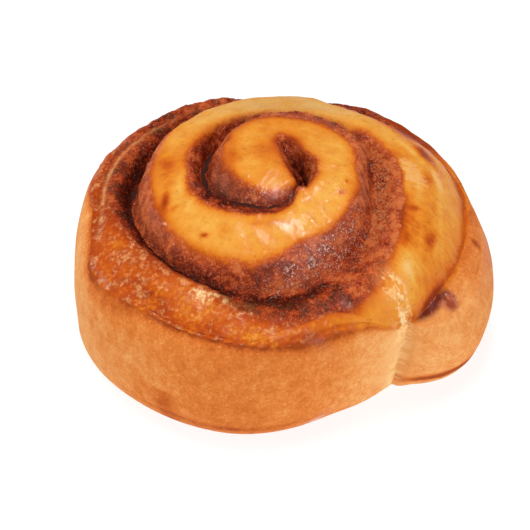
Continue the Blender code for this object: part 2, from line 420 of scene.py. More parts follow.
print("rim at the front:", round(float(rim_level(810.0)), 1), "degrees up")

# %% [markdown]
# Both faces of a turn come from the plan. The last turn leaves its groove and becomes the outside
# of the bun, and at the tail it rounds off to nothing against the turn within.

# %% Section of the strip
SLOT_PASSED = (CORE_START + TURN, CORE_START + TURN + SLOT_FADES)
RIM_SOFT = 0.6


def turn_faces(angle):
    """Where both faces of the strip lie, how far the wall has grown out of its groove and rounds off
    at the tail, and how far it leans in at the top and draws in at the foot."""
    near_end = np.maximum((angle - (TAIL_END - TAIL_ROUNDING)) / TAIL_ROUNDING, 0.0)
    swell = np.sqrt(np.maximum(1.0 - near_end**2, 0.0))
    grown = share(angle, (WALL_START, WALL_START + WALL_GROWS))
    inner = inner_edge(angle)
    outer_face = groove(angle) * (1.0 - grown) + outer_radius(angle) * grown
    outer_face = inner + (outer_face - inner) * swell
    most_lean = THIN_LEAN * (outer_face - inner)
    lean = grown * np.minimum(WALL_LEAN, most_lean)
    tuck = grown * np.minimum(along_strip(WALL_TUCK, angle), most_lean)
    return inner, outer_face, grown, swell, lean, tuck


def rises(angle, radius, from_inner, from_outer, last_turn):
    """How far the two slopes have risen, from 0 to 1. Beside the slot from_inner is changed too: it
    becomes the distance from the slot's rim."""
    half_in = along_strip(FLOOR_HALF, np.maximum(angle - TURN, CORE_START))
    half_out = np.where(last_turn, 0.0, along_strip(FLOOR_HALF, angle))
    far_in = np.clip((from_inner - half_in) / along_strip(INNER_WIDTH, angle), 0.0, 1.0)
    far_out = np.clip((from_outer - half_out) / along_strip(OUTER_WIDTH, angle), 0.0, 1.0)
    by_slot = angle[:, 0] < SLOT_PASSED[1]
    past_slot = share(angle[by_slot], SLOT_PASSED)
    past_rim, from_floor = slot_distances(radius[by_slot], angle[by_slot])
    slot_rise = from_floor / np.maximum(from_floor + np.maximum(RIM_SOFT - past_rim, 0.0), NUDGE)
    far_in[by_slot] = slot_rise * (1.0 - past_slot) + far_in[by_slot] * past_slot
    from_inner[by_slot] = past_rim * (1.0 - past_slot) + from_inner[by_slot] * past_slot
    rise_in = 1.0 - (1.0 - far_in) ** along_strip(INNER_ROUND, angle)
    rise_out = 1.0 - (1.0 - far_out) ** along_strip(OUTER_ROUND, angle)
    return rise_in, rise_out


print("the slot is passed at", SLOT_PASSED[1], "degrees")

# %% [markdown]
# The section is worked out from groove to groove. Its points lie closer together near the grooves,
# where the surface turns most, and each point is told how far it lies from the grooves, from the
# crest and from the rim, because colour and relief follow those distances on real dough.

# %% Heights from groove to groove
EVEN_OUT = 0.09
FACTS = (
    "angle", "from_inner", "from_outer", "below_crest", "below_rim", "from_edge", "height", "radius",
)


def name_facts(*values):
    """The facts that each point keeps, by name, all of the size of the grid."""
    return dict(zip(FACTS, np.broadcast_arrays(*values)))


def strip_section(angle):
    """Radius, height and facts of every point from groove to groove, and what the wall needs."""
    angle = np.asarray(angle, float)[:, None]
    last_turn = angle > WALL_START - NUDGE
    inner, outer_face, grown, swell, lean, tuck = turn_faces(angle)
    outer = np.where(last_turn, outer_face - lean, groove(angle))
    width = outer - inner
    middle = dome(inner + width / 2, angle)
    crown = middle - along_strip(SAG, angle)

    def crest(radius):
        return crown + DOME_TILT * (dome(radius, angle) - middle)

    first_turn = angle < CORE_START + TURN - NUDGE
    floor_in = np.where(first_turn, slot_floor(inner, angle), groove_floor(angle - TURN))
    end_floor = groove_floor(np.full_like(angle, WALL_START))
    shoulder = end_floor + (crest(outer) - CREASE_DEPTH - end_floor) * grown * swell
    floor_out = np.where(last_turn, shoulder, groove_floor(np.minimum(angle, WALL_START)))
    c = np.linspace(0.0, 1.0, TOP)
    across = c - EVEN_OUT * np.sin(2 * math.pi * c)
    radius = inner + across * width
    floor = floor_in + (floor_out - floor_in) * across
    from_inner, from_outer = radius - inner, outer - radius
    rise_in, rise_out = rises(angle, radius, from_inner, from_outer, last_turn)
    z = floor + np.maximum(crest(radius) - floor, 0.0) * rise_in * rise_out
    below_rim = -np.hypot(from_outer, (1.0 - rim_level(angle) / 90.0) * SHOULDER_MM)
    facts = name_facts(
        angle, from_inner, from_outer + np.where(last_turn, FAR * grown, 0.0), crest(radius) - z,
        np.where(last_turn, below_rim, -FAR), np.where(last_turn, outer - radius, FAR), z, radius)
    return radius, z, facts, outer_face, width, shoulder, lean, tuck


print(SECTIONS * (TOP - 1), "faces from groove to groove")

# %% [markdown]
# The wall rests on a flat foot, bulges above it and rounds off to the shoulder. A shallow fold
# runs along the rim, where the skin of the crust dried before the wall stopped rising.

# %% Section of the wall
FOLDS = (  # depth, place below the rim and spread
    (-0.30, 0.3, 0.7), (0.25, -1.2, 0.9), (-0.20, -2.9, 0.6),
)
FOLDS_END, THIN_WALL = (868.0, 882.0), 3.0
UNDER_FOOT = (0.8, 8.0)  # how far in the two last rows lie, on the table under the bun


def wall_section(angle, outer_face, shoulder, lean, tuck, width):
    """The wall below the shoulder, down to the table and a little way under the bun."""
    angle = np.asarray(angle, float)[:, None]
    w = np.linspace(1.0, 0.0, WALL)
    under = np.minimum(1.0, w / WALL_SPLIT)
    over = np.maximum(0.0, (w - WALL_SPLIT) / (1.0 - WALL_SPLIT)) * math.pi / 2
    z = BULGE_HEIGHT * under + (shoulder - BULGE_HEIGHT) * np.sin(over)
    radius = outer_face - tuck * (1.0 - under) ** 2 - lean * (1.0 - np.cos(over))
    below_rim = (rim_level(angle) - np.degrees(over)) * SHOULDER_MM / 90.0
    fold = sum(depth * bell(below_rim, level, spread) for depth, level, spread in FOLDS)
    radius = radius + fold * smooth(lean / THIN_WALL) * (1.0 - share(angle, FOLDS_END))
    foot = radius[:, -1:] - np.array([UNDER_FOOT])
    radius = np.concatenate([radius, foot], axis=1)
    z = np.concatenate([z, np.zeros_like(foot)], axis=1)
    below_rim = np.concatenate([below_rim, np.full_like(foot, FAR)], axis=1)
    from_inner = width + below_rim - below_rim[:, :1]
    return radius, z, name_facts(angle, from_inner, FAR, 0.0, below_rim, FAR, z, radius)


print(PER_TURN * (WALL + 1), "faces in the wall")

# %% [markdown]
# ## Rolling out and winding
# A primitive grid is the flat strip. Each of its points moves to its place in the spiral, and
# keeps what is known of it as an attribute, which the relief and the finish read later.

# %% Roll out a grid and wind it
def only(obj):
    """Selects this object alone."""
    bpy.ops.object.select_all(action="DESELECT")
    obj.select_set(True)
    bpy.context.view_layer.objects.active = obj


def wound_grid(name, radius, z, angles, facts):
    """A flat grid wound up: its rows are sections of the strip."""
    rows, columns = radius.shape
    bpy.ops.object.select_all(action="DESELECT")
    bpy.ops.mesh.primitive_grid_add(x_subdivisions=columns - 1, y_subdivisions=rows - 1, size=1)
    obj = bpy.context.object
    obj.name = obj.data.name = name
    flat = np.empty(len(obj.data.vertices) * 3)
    obj.data.vertices.foreach_get("co", flat)
    flat = flat.reshape(-1, 3)
    column = np.rint((flat[:, 0] + 0.5) * (columns - 1)).astype(int)
    row = np.rint((flat[:, 1] + 0.5) * (rows - 1)).astype(int)
    points = place_points(radius[row, column], angles[row], z[row, column])
    obj.data.vertices.foreach_set("co", points.ravel())
    for fact_name, values in facts.items():
        layer = obj.data.attributes.new(fact_name, "FLOAT", "POINT")
        layer.data.foreach_set("value", values[row, column].astype(np.float32))
    obj.data.update()
    return obj


def close_skin(obj, merge):
    """Merges shared points, closes the holes that are left and turns the faces outward."""
    only(obj)
    bpy.ops.object.mode_set(mode="EDIT")
    bpy.ops.mesh.select_all(action="SELECT")
    bpy.ops.mesh.remove_doubles(threshold=merge)
    bpy.ops.mesh.select_all(action="DESELECT")
    bpy.ops.mesh.select_mode(type="EDGE")
    bpy.ops.mesh.select_non_manifold()
    bpy.ops.mesh.fill_holes(sides=0)
    bpy.ops.mesh.select_all(action="SELECT")
    bpy.ops.mesh.normals_make_consistent(inside=False)
    bpy.ops.object.mode_set(mode="OBJECT")
    obj.data.shade_smooth()
    print(obj.name, len(obj.data.vertices), "vertices", len(obj.data.polygons), "faces")


strip_angles = CORE_START + np.arange(SECTIONS + 1) * TURN / PER_TURN
strip_r, strip_z, strip_facts, faces_r, widths, shoulders, leans, tucks = strip_section(strip_angles)
last = slice(SECTIONS - PER_TURN, SECTIONS + 1)
wall_angles = strip_angles[last]
wall_r, wall_z, wall_facts = wall_section(
    wall_angles, faces_r[last], shoulders[last], leans[last], tucks[last], widths[last])
print("highest point:", round(float(strip_z.max()), 1), "mm")

# %% [markdown]
# ## Where the crust is pale, golden, orange or brown
# The oven browns what stands proud and the cinnamon stains what lies beside a groove, so a
# colour belongs to a place on the strip, not to a place in the room. Each point gets a tone from
# 0, pale, to 1, darkest, and the tables below run along the strip like those of its shape.

# %% Stain along the strip
STAIN_OUTER = (  # how far the stain reaches in from the outer groove
    (72, 1.2), (110, 1.4), (130, 2.4), (154, 3.5), (192, 4.4), (240, 5.2), (282, 7), (315, 6.4),
    (345, 5.2), (360, 4.8), (395, 4), (410, 5.4), (434, 6.8), (445, 7.6), (453, 5.6), (464, 3.6),
    (478, 2.2), (490, 2), (500, 2.7), (517, 4.2), (545, 5.4), (600, 4), (640, 3.4), (665, 6.2),
    (688, 6.6), (700, 4), (712, 0.2), (724, -0.6), (1135, -0.6),
)
STAIN_INNER = (  # how far it reaches from the inner groove
    (72, 0.3), (431.9, 0.3), (432, 0.3), (438, 1.2), (446, 2.6), (455, 3.4), (471, 4.8), (483, 6.2),
    (496, 6.8), (510, 6.4), (525, 4.5), (549, 3.7), (566, 2.7), (590, 2.4), (640, 2.2), (674, 2.2),
    (684, 4.2), (700, 4.6), (712, 6), (727, 7.3), (756, 8.5), (773, 8.7), (785, 9.3), (796, 9.8),
    (806, 8.8), (818, 6.8), (828, 5), (836, 2.2), (845, 1.3), (858, 1.8), (872, 3.2), (886, 5),
    (902, 7.6), (930, 10.5), (1005, 10), (1030, 5), (1045, 0), (1060, -0.8), (1135, -0.8),
)
STAIN_TONE = (  # how dark it is
    (72, 0.40), (130, 0.30), (200, 0.22), (260, 0.28), (300, 0.34), (360, 0.24), (385, 0.16),
    (405, 0.20), (420, 0.26), (438, 0.28), (455, 0.32), (475, 0.36), (500, 0.17), (540, 0.20),
    (580, 0.30), (640, 0.34), (690, 0.16), (735, 0.08), (772, 0.10), (785, 0.34), (835, 0.42),
    (860, 0.38), (880, 0.40), (930, 0.36), (1010, 0.40), (1135, 0.36),
)
# Painted shade: the stain is made darker down the slope, into the groove, where less light reaches.
GROOVE_SHADE_TONE = (  # how much darker it gets down the slope
    (72, 1), (120, 0.8), (160, 0.35), (230, 0.4), (290, 0.9), (340, 0.5), (385, 0.15), (420, 0.5),
    (436, 0), (468, 0), (480, 0.3), (515, 0.15), (560, 0.3), (600, 0.4), (640, 0.4), (670, 0.1),
    (770, 0.1), (800, 0.1), (815, 0.8), (1040, 0.8), (1060, 0.1), (1135, 0.1),
)
# Partly the tint of brown sugar, partly a painted sheen: the violet cast the wash reflects on the
# slopes.
VIOLET_AND_SHEEN = (  # how violet the sugar on the outer slope is
    (72, 0.3), (150, 1.1), (230, 1.1), (340, 0.6), (385, 0.8), (425, 0.5), (440, 0.3), (456, 0.2),
    (466, 0.1), (495, 0.2), (510, 0.8), (560, 0.9), (600, 0.5), (640, 0), (1135, 0),
)
# Partly melted sugar, partly a painted highlight: its pink is lightened to stand in for the wash's
# glints.
GLAZE_AND_SHEEN = (  # how much of that sugar melted to a pink glaze
    (398, 0), (416, 0.6), (430, 1), (448, 0.9), (460, 0),
)
print("widest stain:", max(width for _, width in STAIN_INNER), "mm")

# %% [markdown]
# Away from the stain, the crown is brownest where the egg wash lay thick and the heat reached
# it first, and the wall stays paler, because it never saw the egg wash.

# %% Crown and wall along the strip
CROWN_TONE = (  # how brown the crown is
    (72, 0.29), (160, 0.31), (250, 0.36), (300, 0.30), (360, 0.28), (430, 0.26), (470, 0.26),
    (510, 0.32), (540, 0.36), (570, 0.24), (610, 0.12), (660, 0.12), (690, 0.26), (712, 0.32),
    (730, 0.36), (750, 0.43), (765, 0.36), (785, 0.32), (800, 0.54), (820, 0.50), (845, 0.52),
    (858, 0.66), (870, 0.60), (885, 0.64), (960, 0.66), (1000, 0.75), (1036, 0.8), (1048, 0.7),
    (1060, 0.34), (1135, 0.35),
)
BUBBLY = (  # how frothy the crust is
    (785, 0), (800, 0.5), (815, 0.9), (870, 1), (900, 0.8), (960, 0.6), (1000, 0.5), (1040, 0),
)
WALL_TONE = (  # how brown the wall is
    (775, 0.20), (785, 0.26), (795, 0.42), (808, 0.54), (825, 0.56), (845, 0.47), (862, 0.34),
    (880, 0.28), (910, 0.34), (1000, 0.45), (1075, 0.56), (1095, 0.50), (1112, 0.37), (1126, 0.26),
    (1135, 0.36),
)
print("brownest crown:", max(tone for _, tone in CROWN_TONE))

# %% [markdown]
# Some marks lie anywhere on the bun. Each is a soft oval, given by the place of its middle in the
# room, X and Y, its half length, its half width, the slant of its length from X, and its strength.

# %% Spots
MARKS = (  # small browned spots
    (-29.0, -10.5, 4.2, 0.9, 86, 0.8), (-26.5, -14.0, 1.4, 0.7, 60, 0.35),
    (-19.1, -23.7, 1.0, 0.7, 0, 1.0), (14.6, -11.1, 0.9, 0.6, 40, 1.0),
    (16.0, -7.0, 0.7, 0.5, 80, 0.7), (30.5, -20.0, 2.4, 1.1, 70, 0.6),
    (37.6, 14.6, 4.4, 2.4, -58, 0.55), (41.9, -24.7, 0.7, 0.6, 0, 1.2),
    (-5.6, -21.2, 4.5, 1.2, 0, 0.35), (33.0, -9.0, 1.6, 0.8, 20, 0.5),
    (-14.0, 9.0, 1.6, 0.8, 50, 0.5),
)
TOAST = (  # broad orange patches
    (-12.5, 2.5, 1.8, 7.5, 0, 0.22), (-29.0, 2.0, 2.0, 6.0, 0, 0.24),
    (17.5, -6.0, 4.0, 7.0, 0, 0.06), (37.6, 14.6, 4.4, 2.4, -58, 0.2),
    (2.0, 8.0, 4.0, 2.0, 30, 0.14), (-4.2, 3.2, 3.0, 4.0, 15, 0.22),
    (37.0, 3.5, 1.8, 3.2, -20, 0.22), (30.5, 26.0, 7.0, 3.0, -38, 0.40),
    (30.0, 11.5, 1.8, 5.0, -20, 0.14), (37.0, -16.5, 3.4, 1.1, 60, 0.30),
    (-31.5, -34.5, 6.0, 1.6, -42, 0.28),
)
STRAW = (  # paler streaks
    (-25.0, -4.0, 7.5, 1.3, 84, 0.8), (-22.5, -12.0, 4.0, 0.8, 70, 0.6),
    (34.5, -4.0, 9.0, 1.0, 86, 0.7), (40.0, -8.0, 9.0, 0.8, 88, 0.8),
    (31.0, 6.0, 5.0, 1.0, 110, 0.9), (34.0, 14.0, 5.0, 1.2, 125, 1.0),
    (38.5, -17.0, 5.0, 0.7, 70, 0.6), (29.5, -27.0, 5.0, 1.6, 75, 1.0),
    (31.5, -1.0, 4.0, 1.3, 86, 1.0), (40.0, 4.0, 6.0, 0.9, 100, 0.9),
)
PEELED = (  # where thin flakes of the wash have lifted
    (33.5, 4.5, 7.5, 3.2, 112, 1.0), (40.0, 6.0, 6.0, 1.8, 104, 0.9),
    (37.0, -4.0, 4.0, 2.4, 90, 0.5),
)
GLEAM = (  # where the wash dried thick and mirrors the windows
    (1.1, -22.0, 4.6, 1.9, 8, 1.0), (-0.8, -11.2, 5.6, 1.4, 4, 1.0), (7.8, -46.5, 2.8, 0.8, 8, 1.0),
    (-30.3, -39.7, 1.8, 0.8, -50, 1.0), (-46.0, -10.4, 5.0, 0.8, 85, 0.9),
    (8.5, -27.0, 6.5, 2.6, 35, 0.9), (13.0, -39.0, 3.5, 1.0, 20, 0.6),
    (-22.0, -36.5, 5.0, 2.0, -35, 0.4),
)
# Painted glints: pale grains in the colour where light glints on sugar; the coat is rougher there
# too.
SUGAR_AND_PAINTED_GLINTS = (  # where sugar grains glitter
    (-3.4, -10.9, 5.6, 1.2, 0, 1.0), (0.4, -21.6, 5.0, 1.5, 8, 0.45),
    (-7.4, -22.4, 1.2, 0.9, 0, 0.7),
)
PATCH = (  # the syrup beside the tail
    (35.6, -30.0, 6.8, 2.3, 42, 1.0), (41.0, -27.2, 2.8, 2.8, 60, 1.0),
)


def spots(table, x, y):
    """How strongly each point lies in one of the spots of a table."""
    total = np.zeros_like(x)
    for cx, cy, long, wide, slant, strength in table:
        a = math.radians(slant)
        along = (x - cx) * math.cos(a) + (y - cy) * math.sin(a)
        aside = (y - cy) * math.cos(a) - (x - cx) * math.sin(a)
        total = np.maximum(total, strength * np.exp(-((along / long) ** 2) - (aside / wide) ** 2))
    return total


print(len(MARKS) + len(TOAST) + len(STRAW), "spots and streaks of tone")

# %% [markdown]
# Other places belong to the strip: a darker band low on a slope, the torn crumb at the front
# groove, the blush below the rim, and a painted highlight along the crest inside the left rim.
# Each is a bell along the strip times a bell across it.

# %% Places on the strip
PLACES = (  # what it adds to, strength, winding angle and spread; measure, its value and spread
    ("stain_tone", 0.408, 811, 14, "from_inner", 1.8, 3.0),
    ("stain_tone", 0.34, 462, 22, "from_outer", 0.0, 0.9),
    ("stain_tone", 0.17, 496, 20, "from_outer", 0.0, 0.7),
    ("stain_tone", 0.34, 500, 46, "from_inner", 0.0, 2.2),
    ("stain_tone", 0.578, 496, 26, "from_inner", 3.6, 3.8),
    ("stain_tone", 0.408, 882, 30, "from_inner", 0.8, 2.4),
    ("stain_tone", 0.51, 856, 20, "from_inner", 0.0, 0.7),
    ("stain_tone", 0.24, 452, 15, "from_outer", 3.9, 0.9),
    ("stain_tone", -0.14, 452, 15, "from_outer", 1.8, 1.6),
    ("tone", 0.45, 764, 7, "from_outer", 0.2, 0.8),
    ("wall_tone", 0.26, 860, 17, "below_rim", 2.5, 4.5),
    ("wall_tone", 0.5, 871, 3, "below_rim", 1.2, 1.3),
    ("wall_tone", 0.5, 840, 2.6, "below_rim", 25.6, 0.9),
    ("wall_tone", 0.5, 1093, 1.2, "below_rim", -1.2, 1.2),
    ("wall_tone", 1.1, 1122, 12, "height", 3.8, 1.3),
    ("wall_tone", 0.3, 826, 20, "height", 3.8, 1.3),
    ("granules", 1.0, 742, 36, "from_inner", 2.0, 1.9),
    ("torn", 1.0, 834.5, 10, "from_inner", 4.6, 2.6),
    # a painted highlight: the crest inside the left rim, lit pale
    ("painted_rim_highlight", 1.0, 914, 26, "from_edge", 1.9, 0.5),
    ("blush", 0.55, 1092, 16, "below_rim", 9.0, 7.0),
)


def tone_facts(facts):
    """The tones along the strip, and what the places on it add."""
    angle = facts["angle"]
    for name, table in (("stain_tone", STAIN_TONE), ("tone", CROWN_TONE), ("wall_tone", WALL_TONE)):
        facts[name] = along_strip(table, angle)
    for name, strength, middle, reach, measure, value, width in PLACES:
        added = strength * bell(angle, middle, reach) * bell(facts[measure], value, width)
        facts[name] = facts.get(name, 0.0) + added


print(len(PLACES), "places")

# %% [markdown]
# The stain ends where a point lies farther from both grooves than the tables say. What lies on it,
# violet sugar and pink glaze, follows that edge, and all else belongs to the crown. The violet
# and the pink are partly painted sheen of the wash.

# %% Stain of each point
FALL_STARTS, FALL_REACH = 2.5, 4.5


def stain_facts(facts):
    """How far each point lies past the edge of the stain, what lies on the stain, and the painted
    shade down the slope.
    """
    angle = facts["angle"]
    past_outer = facts["from_outer"] - along_strip(STAIN_OUTER, angle)
    past_inner = facts["from_inner"] - along_strip(STAIN_INNER, angle)
    outside = past_outer < past_inner
    facts["past"] = np.minimum(past_outer, past_inner)
    # Violet: partly sugar, partly painted sheen of the wash on the outer slope.
    facts["violet_and_sheen"] = along_strip(VIOLET_AND_SHEEN, angle) * outside * bell(past_outer, -1.0, 2.2)
    # Pink glaze: partly melted sugar, partly painted sheen.
    facts["glaze_and_sheen"] = along_strip(GLAZE_AND_SHEEN, angle) * outside * bell(past_outer, -3.2, 2.6)
    on_top = smooth((facts["below_crest"] - FALL_STARTS) / FALL_REACH) * (facts["below_rim"] < 0)
    # Painted shade, darker down the slope into the groove.
    facts["painted_groove_shade"] = on_top * along_strip(GROOVE_SHADE_TONE, angle)


print("the slope darkens", FALL_STARTS, "mm below the crest")

# %% Crown of each point
SPOT_DARK, STRAW_PALE = 0.55, 0.24
PEELED_SPAN, MEAN_RADIUS = (660.0, 790.0), 30.0
# Painted shade: how much duller the gold gets at the back of the crown, and where.
BACK_SHADE_MOST, BACK_SHADE_AT, BACK_SHADE_SPREAD = 0.5, 628.0, 36.0
BUBBLY_FROM, BUBBLY_REACH = 1.0, 3.0
STREAKY_AT, STREAKY_SPREAD, STREAKY_FROM, STREAKY_REACH = 756.0, 18.0, 6.0, 4.0


def crown_facts(facts):
    """Spots, shine, painted shade at the back, froth and streaks of each point."""
    angle, from_inner = facts["angle"], facts["from_inner"]
    x, y = plan(facts["radius"], angle)
    facts["tone"] += SPOT_DARK * spots(MARKS, x, y) - STRAW_PALE * spots(STRAW, x, y)
    facts["tone"] += spots(TOAST, x, y)
    facts["gleam"] = spots(GLEAM, x, y)
    # Where sugar glints: painted glints in the colour, and a rougher coat.
    facts["sugar_and_painted_glints"] = spots(SUGAR_AND_PAINTED_GLINTS, x, y)
    peels_here = (angle > PEELED_SPAN[0]) * (angle < PEELED_SPAN[1])
    facts["peeled"] = spots(PEELED, x, y) * peels_here
    # A painted shade: the back of the crown is darker, where less light falls.
    facts["painted_back_shade"] = BACK_SHADE_MOST * bell(angle, BACK_SHADE_AT, BACK_SHADE_SPREAD)
    off_groove = smooth((from_inner - BUBBLY_FROM) / BUBBLY_REACH)
    facts["bubbly"] = along_strip(BUBBLY, angle) * off_groove
    off_groove = smooth((from_inner - STREAKY_FROM) / STREAKY_REACH)
    facts["streaky"] = bell(angle, STREAKY_AT, STREAKY_SPREAD) * off_groove
    facts["along"] = np.radians(angle) * MEAN_RADIUS
    facts["across"] = facts["radius"]


print("the crust is frothy from", BUBBLY[0][0], "to", BUBBLY[-1][0], "degrees")

# %% [markdown]
# The crust ends at the rim, but not everywhere alike: at the left it fades into the wall, and at
# the tail its lower edge runs up to the seam. Pale crumb shows where the skin tore, beside the
# front groove and along the seam at the tail.

# %% Rim, seam and torn crumb of each point
FADES_AT, SKIN_FADES, RIM_FADES = 860.0, 13.0, 12.0
RIM_SHOWS_TO, RIM_ON_WALL = (900.0, 925.0), 0.34
TAIL_FROM, TAIL_TURNS, TAIL_SIDE = (1045.0, 1075.0), 0.3, 1000.0
SEAM_AZIMUTH, SEAM_STARTS, SEAM_FROM_RADIUS, SEAM_OPENS = 56.5, 755.0, 38.0, 6.0
SEAM_ON_WALL, SEAM_ON_TOP, SEAM_TAIL_SIDE = 2.9, 4.6, 0.35
PATCH_BOTTOM, PATCH_FADES, TORN_FROM, TORN_REACH = 10.5, 1.5, 1.0, 1.5


def edge_facts(facts):
    """Where the wall's skin starts, the line of the rim, the syrup patch and the pale crumb."""
    angle, radius = facts["angle"], facts["radius"]
    from_inner, below_rim = facts["from_inner"], facts["below_rim"]
    tail = share(angle, TAIL_FROM)
    up_to_seam = np.where(tail > TAIL_TURNS, from_inner * tail - 0.9, -FAR)
    fading_left = 1.0 - 0.75 * bell(angle, FADES_AT, SKIN_FADES)
    facts["skin"] = np.maximum(below_rim, up_to_seam) * fading_left
    rim_shows = 1.0 - share(angle, RIM_SHOWS_TO)
    rim_shows = rim_shows * (1.0 - 0.8 * bell(angle, FADES_AT, RIM_FADES))
    rim_line = 0.22 * bell(below_rim, -0.6, 1.4) + 0.20 * bell(below_rim, -3.0, 0.6)
    facts["tone"] += rim_line * rim_shows
    facts["wall_tone"] += RIM_ON_WALL * rim_shows * bell(below_rim, 0.0, 2.2)
    near_top = smooth((PATCH_BOTTOM - below_rim) / PATCH_FADES)
    facts["patch"] = spots(PATCH, *plan(radius, angle)) * (angle > TAIL_SIDE) * near_top
    facts["torn"] = facts["torn"] * smooth((from_inner - TORN_FROM) / TORN_REACH)
    azimuth = (angle + TURN / 2) % TURN - TURN / 2
    seam_width = np.where(below_rim > 0.0, SEAM_ON_WALL, SEAM_ON_TOP)
    pinch = bell(azimuth, SEAM_AZIMUTH, seam_width)
    pinch = pinch * smooth((radius - SEAM_FROM_RADIUS) / SEAM_OPENS)
    pinch = pinch * (angle > SEAM_STARTS) * np.where(angle > TAIL_SIDE, SEAM_TAIL_SIDE, 1.0)
    facts["pale"] = np.maximum(facts["torn"], pinch)


for facts in (strip_facts, wall_facts):
    for adds_facts in (tone_facts, stain_facts, crown_facts, edge_facts):
        adds_facts(facts)
print(len(strip_facts), "facts for each point")

# %% [markdown]
# ## One skin
# The crown and the wall are two grids with the same row of points on the shoulder. They are
# joined, the shared points are merged, and the holes that are left, under the bun and at both
# ends of the strip, are filled.

# %% The skin of the dough
MERGE = 2e-6

dough = wound_grid("brioche_dough", strip_r, strip_z, strip_angles, strip_facts)
wall_sheet = wound_grid("wall_sheet", wall_r, wall_z, wall_angles, wall_facts)
only(wall_sheet)
dough.select_set(True)
bpy.context.view_layer.objects.active = dough
bpy.ops.object.join()
close_skin(dough, MERGE)

# %% [markdown]
# ## Relief
# Dough is never even. Broad swellings come from uneven rolling, finer ones from bubbles under the
# skin, and where cinnamon sugar lies the surface is granular. Displace modifiers push the surface
# out and in with cloud textures, each within the part of the bun that a vertex group marks.

# %% Groups and bumps
def mark(obj, name, weights):
    """A vertex group with these weights."""
    group = obj.vertex_groups.new(name=name)
    for level in range(1, 11):
        chosen = np.nonzero(np.rint(weights * 10) == level)[0]
        group.add(chosen.tolist(), level / 10, "REPLACE")


def values_of(obj, name):
    """One of the facts, as an array over the points."""
    values = np.empty(len(obj.data.vertices), np.float32)
    obj.data.attributes[name].data.foreach_get("value", values)
    return values


def roughen(obj, group, size, depth):
    """Pushes the surface out and in by a texture with features of this size, in millimetres."""
    texture = bpy.data.textures.new(f"{group} {size}", "CLOUDS")
    texture.noise_scale = size * MM
    modifier = obj.modifiers.new("relief", "DISPLACE")
    modifier.texture, modifier.texture_coords, modifier.vertex_group = texture, "LOCAL", group
    modifier.strength, modifier.mid_level = depth * MM, 0.5
    only(obj)
    bpy.ops.object.modifier_apply(modifier=modifier.name)


print("groups are marked in tenths")

# %% Relief of the dough
RELIEF = (  # part of the bun, size of the features and depth, in mm
    ("all", 16.0, 1.0), ("crust", 5.0, 0.8), ("stained", 2.4, 0.8), ("stained", 1.0, 0.7),
    ("crumb", 1.3, 1.6), ("crumb", 0.8, 0.8), ("bubbly", 1.5, 0.7), ("bubbly", 3.2, 0.6),
    ("patch", 2.2, 2.2),
)
SLOT_END_SPOT = ((6.6, -13.0, 5.5, 3.0, 115, 1.0),)
SOFTEN_STEPS = 14

above_table = np.array([v.co.z for v in dough.data.vertices]) / MM
plan_xy = np.array([v.co[:2] for v in dough.data.vertices]) / MM
off_table = smooth(above_table / 3.0)
stained = smooth(0.5 - values_of(dough, "past") / 1.5)
crusted = smooth(0.5 - values_of(dough, "skin"))
parts = {
    "all": off_table,
    "crust": off_table * crusted,
    "stained": off_table * stained * crusted,
    "crumb": np.clip(np.maximum(values_of(dough, "granules"), values_of(dough, "torn")), 0, 1),
    "bubbly": off_table * np.clip(values_of(dough, "bubbly"), 0, 1) * crusted,
    "patch": np.clip(values_of(dough, "patch"), 0, 1),
    "slot end": spots(SLOT_END_SPOT, plan_xy[:, 0], plan_xy[:, 1]),
}
for part, weights in parts.items():
    mark(dough, part, weights)
smoothing = dough.modifiers.new("soften", "SMOOTH")
smoothing.factor, smoothing.iterations, smoothing.vertex_group = 0.5, SOFTEN_STEPS, "slot end"
only(dough)
bpy.ops.object.modifier_apply(modifier=smoothing.name)
for part, size, depth in RELIEF:
    roughen(dough, part, size, depth)
dough.vertex_groups.clear()

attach(dough, "root")
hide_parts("dough")
print(len(RELIEF), "layers of relief")

# %% [markdown]
# ## Finish of the crust
# Egg wash bakes to a thin glossy coat over a crust that runs from straw to mahogany. One ramp of
# baked colours is read with the tone of the point, after noise has made its edges ragged, so that
# toast and shadow keep to one family of browns. The stain has a ramp of its own, and so has the
# wall: it never saw the egg wash, and is matt, paler and mottled.

# %% Node helpers for the tree that is being built
def node(kind, sockets=(), **settings):
    """Adds a shader node, sets its options and fills its sockets."""
    made = tree.nodes.new("ShaderNode" + kind)
    for name, value in settings.items():
        setattr(made, name, value)
    put(made, dict(sockets))
    return made


def fact(name):
    """One of the facts that each point keeps."""
    return node("Attribute", attribute_name=name, attribute_type="GEOMETRY").outputs["Fac"]


def calc(operation, *values, clamp=False):
    """One step of arithmetic on sockets and numbers."""
    sockets = dict(enumerate(values))
    return node("Math", sockets, operation=operation, use_clamp=clamp).outputs[0]


def add(*values):
    """The sum of them all."""
    total = values[0]
    for value in values[1:]:
        total = calc("ADD", total, value)
    return total


def times(first, second):
    return calc("MULTIPLY", first, second)


def most(first, second):
    return calc("MAXIMUM", first, second)


def rest_of(value):
    return calc("SUBTRACT", 1.0, value)


def signed(value, reach):
    """Noise from 0 to 1, turned to a push of up to half of this reach either way."""
    return times(calc("SUBTRACT", value, 0.5), reach)


def uneven(value, *pushes):
    """The value, pushed either way by each noise up to half of its reach."""
    return add(value, *[signed(noise, reach) for noise, reach in pushes])


def fading(value, rate):
    """1 up to 0, and then less and less."""
    return calc("POWER", 2.718, times(most(value, 0.0), -rate))


def spread(value, low, high):
    """0 below low and 1 above high, with an even S between."""
    sockets = {"Value": value, "From Min": low, "From Max": high}
    return node("MapRange", sockets, interpolation_type="SMOOTHSTEP").outputs["Result"]


print("arithmetic helpers are ready")

# %% [markdown]
# Noise makes the even tables look baked. Sugar and bubbles are round cells instead of clouds, and
# a colour is mixed in by how much of it lies there, as wash is brushed on and sugar is dusted on.

